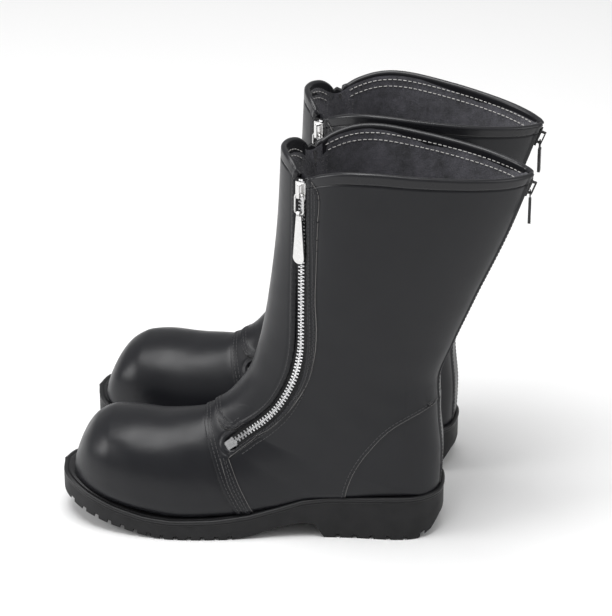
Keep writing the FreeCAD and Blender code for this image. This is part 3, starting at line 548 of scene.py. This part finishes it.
height = np.zeros(len(points))
for curve, upper, up, down in SEAMS:
    d, _ = curve.distance(points, 14)
    d = d * upper
    lift = np.where(d > 0, up * np.exp(-np.abs(d) / 5), -down * np.exp(-np.abs(d) / 2.5))
    height += np.where(np.abs(d) < 14, lift, 0)
for side in (1, -1):
    d, _ = zips[side].distance(points, 16)
    d = np.abs(d)
    bead = 0.6 * np.exp(-(((d - 7.2) / 1.4) ** 2)) - 0.4 * np.exp(-(((d - 9.8) / 0.8) ** 2))
    height += bead
gap = np.zeros(len(points))
for curve, inner, outer in GAP_LEVELS:
    d, _ = curve.distance(points, 12)
    share = np.clip((outer + 0.9 - np.abs(d)) / (outer + 0.9 - inner), 0, 1)
    gap = np.maximum(gap, share)
wave = np.zeros(len(points))
for i, (x, y, z) in enumerate(points):
    ankle = math.exp(-(((z - 120) / 55) ** 2)) if y < 120 else 0.0
    wave[i] = (0.7 * noise.noise((x / 55, y / 48, z / 75))
               + 0.25 * noise.noise((x / 16 + 9, y / 22, z / 15)) * ankle
               + 0.45 * ankle * noise.noise((x / 30, y / 34 + z / 30, 4)))
height += wave * (1 - gap)
height = height * (1 - gap) - 4.0 * gap * gap * (3 - 2 * gap)
surface = points + normals * height[:, None]

# The collar's edge rolls over to the lining.
ROLL = 9
top = surface[:COLUMNS]
inward = -normals[:COLUMNS].copy()
inward[:, 2] = 0
inward /= np.linalg.norm(inward, axis=1, keepdims=True)
thick = LINING_INSET * (1 - gap[:COLUMNS])
roll = []
for k in range(ROLL, 0, -1):
    a = math.pi * k / ROLL
    rise = 2.3 * math.sin(a) * (1 - gap[:COLUMNS])
    roll.append(top + inward * (thick * (1 - math.cos(a)) / 2)[:, None] + np.array([0, 0, 1]) * rise[:, None])
drop = [roll[0] - np.array([0, 0, 1.0]) * d for d in (9.0, 6.0, 3.0)]
sheet = np.vstack([*drop, *roll, surface])
shift = (3 + ROLL) * COLUMNS
sheet_rows = rows + 3 + ROLL
all_faces = grid_faces(sheet_rows, COLUMNS)
foot = np.interp(sheet[:, 1], [p[0] for p in FEATHER], [p[1] for p in FEATHER])
keep = np.any(sheet[all_faces][:, :, 2] > foot[all_faces] - 5, axis=1)
all_faces = all_faces[keep]
BAND_ROWS = 3 + ROLL + 7
collar_faces = all_faces[all_faces.max(axis=1) < (BAND_ROWS + 1) * COLUMNS]
upper_faces = all_faces[all_faces.max(axis=1) >= (BAND_ROWS + 1) * COLUMNS]
# A seam under the collar's band.
band_row = slice(BAND_ROWS * COLUMNS, (BAND_ROWS + 1) * COLUMNS)
sheet[band_row] -= normals[7 * COLUMNS: 8 * COLUMNS] * (0.7 * (1 - gap[7 * COLUMNS: 8 * COLUMNS]))[:, None]
# The grid's faces are wound inwards, so they are turned here for a tree with outward normals.
final = BVHTree.FromPolygons([tuple(p) for p in sheet], all_faces[:, ::-1].tolist())


def compact(verts, faces):
    used = np.unique(faces)
    remap = np.zeros(len(verts), int)
    remap[used] = np.arange(len(used))
    return verts[used], remap[faces]


# ------------------------------------------------------------------ lining
LINING_COLUMNS = 240
lining_grid = boot_grid(LINING_COLUMNS, 2.2, inset=LINING_INSET, below_rim=1.2)
lining_rows = len(lining_grid)
lining_points = lining_grid.reshape(-1, 3)
lining_normals = grid_normals(lining_grid).reshape(-1, 3)
ripple = np.array([noise.noise((x / 22, y / 22, z / 26)) * 0.9 + noise.noise((x / 7, y / 7, z / 7)) * 0.25
                   for x, y, z in lining_points])
fade = np.clip(np.repeat(np.arange(lining_rows), LINING_COLUMNS) / 6, 0, 1)
lining_points = lining_points - lining_normals * ((ripple * 0.5 + 0.3) * fade)[:, None]
lining_faces = grid_faces(lining_rows, LINING_COLUMNS)[:, ::-1]
lining_tree = BVHTree.FromPolygons([tuple(p) for p in lining_points], lining_faces.tolist())


def lining_row(depth, clearance=11.0):
    """Points round the inside of the collar, depth below its edge, broken at the zips."""
    line = boot_grid(480, 500.0, inset=LINING_INSET, below_rim=depth + 1.2)[0]
    runs, current = [], []
    for p in np.roll(line, -6, axis=0):
        near = min(zips[s].kd.find(p)[2] for s in (1, -1))
        near = min(near, rear_zip.kd.find(p)[2])
        if near < clearance:
            if len(current) > 8:
                runs.append(np.array(current))
            current = []
        else:
            current.append(p)
    if len(current) > 8:
        runs.append(np.array(current))
    return runs


def inside_stitches():
    parts = []
    for depth in (3.2, 8.6):
        for run in lining_row(depth):
            run = resample(run, 0.8)
            spots, turned = [], []
            for p in run:
                spot, normal, _, _ = lining_tree.find_nearest(Vector(p))
                spots.append(spot)
                turned.append(normal)
            normals_in = np.array(turned)
            centre = np.array([0, run[:, 1].mean(), 0])
            flip = np.sum(normals_in * (centre - np.array(spots)) * [1, 1, 0], axis=1) < 0
            normals_in[flip] *= -1
            parts.append(stitches(np.array(spots), normals_in, 2.5, 1.5, 0.42, 0.25))
    for side in (1, -1):
        for offset in (10.5, 14.0, -10.5, -14.0):
            base = zips[side].points[:160] + zips[side].sides[:160] * offset
            spots, turned = [], []
            for p in base[12:]:
                spots.append(lining_tree.find_nearest(Vector(p))[0])
                turned.append(-np.array(zips[side].normals[0]))
            parts.append(stitches(np.array(spots), np.array(turned), 2.4, 1.5, 0.38, 0.25))
    return gather(parts)


# ------------------------------------------------------------------ zips
def chain_path(side):
    """Chain centre points and outward normals: straight as the slider runs, then the curve."""
    curve = zips[side]
    bend_i = int(np.argmin(np.abs(curve.points[:, 2] - 166)))
    top_p, bend_p = curve.points[0], curve.points[bend_i]
    run = (bend_p - top_p) / np.linalg.norm(bend_p - top_p)
    outward = curve.normals * np.sign(side * curve.normals[0, 0])
    n = outward[0] + outward[bend_i]
    n -= run * (n @ run)
    n /= np.linalg.norm(n)
    count = int(np.linalg.norm(bend_p - top_p) / 0.5)
    straight = top_p + (bend_p - top_p) * np.linspace(0, 1, count)[:, None]
    rest = curve.points[bend_i + 1:]
    blend = np.clip(np.arange(len(rest)) / 30, 0, 1)[:, None]
    rest_n = n * (1 - blend) + outward[bend_i + 1:] * blend
    path = smoothed(np.vstack([straight, rest]), 60)
    ns = smoothed(np.vstack([np.repeat(n[None], count, axis=0), rest_n]), 200)
    ns /= np.linalg.norm(ns, axis=1, keepdims=True)
    return resample_pair(path - ns * CHAIN_DEPTH, ns, CHAIN_STEP)


def resample_pair(points, normals, step):
    run = np.concatenate([[0], np.cumsum(np.linalg.norm(np.diff(points, axis=0), axis=1))])
    s = np.arange(0, run[-1], step)
    p = np.stack([np.interp(s, run, points[:, k]) for k in range(3)], axis=1)
    n = np.stack([np.interp(s, run, normals[:, k]) for k in range(3)], axis=1)
    n /= np.linalg.norm(n, axis=1, keepdims=True)
    return p, n


def teeth(path, ns, pitch=2.9, reach=2.75, width=1.35, thick=1.05):
    """Alternating metal teeth on both sides of the chain's middle."""
    tangent, normal, side = frames_along(path, ns)
    parts = []
    for k, at in enumerate(np.arange(1.0, (len(path) - 2) * CHAIN_STEP, pitch / 2)):
        i = int(at / CHAIN_STEP)
        sign = 1 if k % 2 else -1
        axes = np.array([side[i] * sign, tangent[i], normal[i]])
        parts.append(box_part(path[i], axes, (0.9, -width / 2, -thick), (reach, width / 2, thick), 0.92))
        parts.append(box_part(path[i], axes, (-0.95, -width / 2 + 0.12, -thick * 0.8),
                              (0.95, width / 2 - 0.12, thick * 0.8), 1.12))
    return parts


def ribbon(path, ns, half_width, offset, half_thick=0.25):
    tangent, normal, side = frames_along(path[::4], ns[::4])
    p = path[::4] + normal * offset
    ring = [p + side * half_width + normal * half_thick, p - side * half_width + normal * half_thick,
            p - side * half_width - normal * half_thick, p + side * half_width - normal * half_thick]
    return np.stack(ring, axis=1).reshape(-1, 3), grid_faces(len(p), 4)


def rear_path():
    """The rear coil's centre line and normals: one straight run down the back, then the leather's curve."""
    tops = rear_zip.points
    top_i = int(np.argmin(np.abs(tops[:, 2] - 292)))
    low_i = int(np.argmin(np.abs(tops[:, 2] - 150)))
    a, b = tops[top_i], tops[low_i]
    run = (b - a) / np.linalg.norm(b - a)
    n = np.array([0, -run[2], run[1]])
    n = n if n[1] > 0 else -n
    line = a + (b - a) * np.linspace(0, 1, 300)[:, None]
    tail = tops[low_i + 1:]
    path = smoothed(np.vstack([line, tail]), 60)
    outward = rear_zip.normals * np.sign(rear_zip.normals[:, 1:2])
    ns = smoothed(np.vstack([np.repeat(n[None], 300, axis=0), outward[low_i + 1:]]), 200)
    path[:, 0] = 0
    ns[:, 0] = 0
    ns /= np.linalg.norm(ns, axis=1, keepdims=True)
    return resample_pair(path - ns * REAR_DEPTH, ns, CHAIN_STEP)


# ------------------------------------------------------------------ welt bead
def welt_mesh():
    """The welt swept round the sole's outline, its edge rounded, with a channel on top."""
    loop = smooth_line([*SOLE_OUTLINE, SOLE_OUTLINE[0]], 1.2)[:-1]
    tangent = np.roll(loop, -1, axis=0) - np.roll(loop, 1, axis=0)
    tangent /= np.linalg.norm(tangent, axis=1, keepdims=True)
    inward_2d = np.stack([-tangent[:, 1], tangent[:, 0]], axis=1)
    z = np.interp(loop[:, 1], [p[0] for p in FEATHER], [p[1] for p in FEATHER])
    profile = [(13, 0.0), (6.0, 0.1), (4.6, 0.15), (4.2, -0.35), (3.8, -0.35), (3.4, 0.15), (2.0, 0.3),
               (0.9, 0.15), (0.2, -0.45), (0.0, -1.3), (0.25, -2.2), (1.0, -2.75), (0.9, -3.1), (0.5, -3.6),
               (0.6, -4.2), (13, -4.2)]
    verts = []
    for inset, rise in profile:
        p = loop + inward_2d * inset
        verts.append(np.column_stack([p, z + rise]))
    count = len(loop)
    grid_v = np.stack(verts, axis=0)
    return grid_v.reshape(-1, 3), grid_faces(len(profile), count)


# ------------------------------------------------------------------ build both boots
upper_nodes = ["vamp", "instep_band", "front_panel", "outer_quarter", "inner_quarter", "heel_cover",
               "backstay", "toe_puff", "heel_stiffener"]
welt_points, welt_faces = welt_mesh()
pale_parts, dark_parts, highlight_edge_parts = [inside_stitches()], [], []
for side in (1, -1):
    # Pale tubes along the facing, foot, band, counter and panel-end edges carry the painted edge highlight.
    p, n = shifted(facings[side], 0.2 * side, final, 0.05)
    highlight_edge_parts.append(tube(p[::2], n[::2], 0.34))
    p, n = shifted(facings[side], 2.6 * side, final)
    dark_parts.append(stitches(p, n))
    for offset in (8.4, -8.4, -11.6 * side):
        p, n = shifted(zips[side], offset, final)
        dark_parts.append(stitches(p, n))
    for curve, offsets in ((feet[side], (0.2, 2.4)), (bands[side], (0.2, -2.2))):
        p, n = shifted(curve, offsets[0], final, 0.05)
        highlight_edge_parts.append(tube(p[::2], n[::2], 0.26))
        p, n = shifted(curve, offsets[1] * side, final)
        dark_parts.append(stitches(p, n))
    p, n = shifted(counters[side], 0.1, final, 0.05)
    highlight_edge_parts.append(tube(p[::2], n[::2], 0.3))
    p, n = shifted(counters[side], 2.4 * side, final)
    dark_parts.append(stitches(p, n))
    p, n = shifted(backs[side], -2.0 * side, final)
    dark_parts.append(stitches(p, n))
for offset in (-2.4, -5.2):
    p, n = shifted(vamp_seam, offset, final)
    dark_parts.append(stitches(p, n))
for offset in (-2.2, -5.0):
    p, n = shifted(panel_end, offset, final)
    dark_parts.append(stitches(p, n))
p, n = shifted(panel_end, -0.1, final, 0.05)
highlight_edge_parts.append(tube(p[::2], n[::2], 0.24))

for hand, word in ((1, "left"), (-1, "right")):
    body = word + "_boot"
    v, f = compact(sheet, upper_faces)
    make_mesh(word + " leather upper", v, f[:, ::-1], hand, body, LEATHER,
              replaces=[f"{word}_{n}" for n in upper_nodes])
    v, f = compact(sheet, collar_faces)
    make_mesh(word + " collar edge", v, f[:, ::-1], hand, body, COLLAR,
              replaces=[word + "_collar_binding"])
    make_mesh(word + " felt lining", lining_points, lining_faces[:, ::-1], hand, body, LINING,
              replaces=[word + "_lining"])
    for side, zip_name in ((1, "outer"), (-1, "inner")):
        path, ns = chain_path(side)
        v, f = ribbon(path, ns, 6.6, -0.35)
        make_mesh(f"{word} {zip_name} zip tape", v, f, hand, body, TAPE, False,
                  [f"{word}_{zip_name}_zip_tape"])
        parts = teeth(path, ns)
        tangent, normal, across = frames_along(path, ns)
        end = np.array([tangent[-1], across[-1], normal[-1]])
        parts.append(box_part(path[-1], end, (-1.0, -3.7, -1.3), (5.6, 3.7, 1.7), 0.94))
        parts.append(box_part(path[-1], end, (-3.0, -3.9, -0.9), (-1.0, 3.9, 1.9)))
        v, f = gather(parts)
        teeth_obj = make_mesh(f"{word} {zip_name} zip teeth", v, f, hand, body, SILVER, False,
                              [f"{word}_{zip_name}_zip_teeth"])
        soft_edges(teeth_obj, 0.00022, 1)
    path, ns = rear_path()
    parts = teeth(path, ns, 2.0, 2.4, 1.1, 1.0)
    v, f = gather(parts)
    make_mesh(word + " rear zip coil", v, f, hand, body, BLACK_METAL, False)
    v, f = ribbon(path, ns, 5.5, -0.35)
    make_mesh(word + " rear zip tape", v, f, hand, body, TAPE, False, [word + "_rear_zip_tape"])
    make_mesh(word + " welt", welt_points, welt_faces, hand, body, WELT,
              replaces=[word + "_welt"])
    v, f = gather(pale_parts)
    make_mesh(word + " lining stitches", v, f, hand, body, PALE_THREAD)
    v, f = gather(dark_parts)
    make_mesh(word + " leather stitches", v, f, hand, body, DARK_THREAD)
    # The painted edge highlights: pale tubes along the panel edges.
    v, f = gather(highlight_edge_parts)
    make_mesh(word + " painted highlight edges", v, f, hand, body, EDGE_HIGHLIGHT_PAINT)

# ------------------------------------------------------------------ studio
bpy.ops.mesh.primitive_plane_add(size=40)
floor = bpy.context.object
floor.name = "floor"
FLOOR = material("pale floor", (0.86, 0.86, 0.86), 0.6)
floor.data.materials.append(FLOOR)

world = bpy.data.worlds.new("studio")
world.use_nodes = True
world.node_tree.nodes["Background"].inputs["Color"].default_value = (1, 1, 1, 1)
world.node_tree.nodes["Background"].inputs["Strength"].default_value = 0.42
bpy.context.scene.world = world
bpy.context.scene.view_settings.view_transform = "Standard"


def area_light(name, place, aim, size, power):
    data = bpy.data.lights.new(name, "AREA")
    data.shape = "RECTANGLE"
    data.size, data.size_y = size
    data.energy = power
    obj = bpy.data.objects.new(name, data)
    obj.location = place
    obj.rotation_euler = (Vector(aim) - Vector(place)).to_track_quat("-Z", "Y").to_euler()
    bpy.context.scene.collection.objects.link(obj)


area_light("top softbox", (0.2, -0.2, 2.2), (0, 0, 0.1), (1.5, 1.5), 46)
area_light("front softbox", (0.9, -2.2, 1.3), (0, 0, 0.15), (1.2, 1.2), 30)
area_light("back softbox", (0.3, 2.2, 1.5), (0, 0, 0.15), (1.2, 1.2), 12)

camera_data = bpy.data.cameras.new("camera")
SENSOR = 36
FOCAL_SHARE = 4.508117
camera_data.lens = FOCAL_SHARE * SENSOR
camera_data.sensor_width = SENSOR
camera_data.clip_end = 100
camera = bpy.data.objects.new("camera", camera_data)
eye = Vector((1.9315, 0.3215 - Y_SHIFT / 1000, 1.1038))
aim = Vector((0, 0.033 - Y_SHIFT / 1000, 0.1506))
camera.location = eye
camera.rotation_euler = (aim - eye).to_track_quat("-Z", "Y").to_euler()
bpy.context.scene.collection.objects.link(camera)
bpy.context.scene.camera = camera
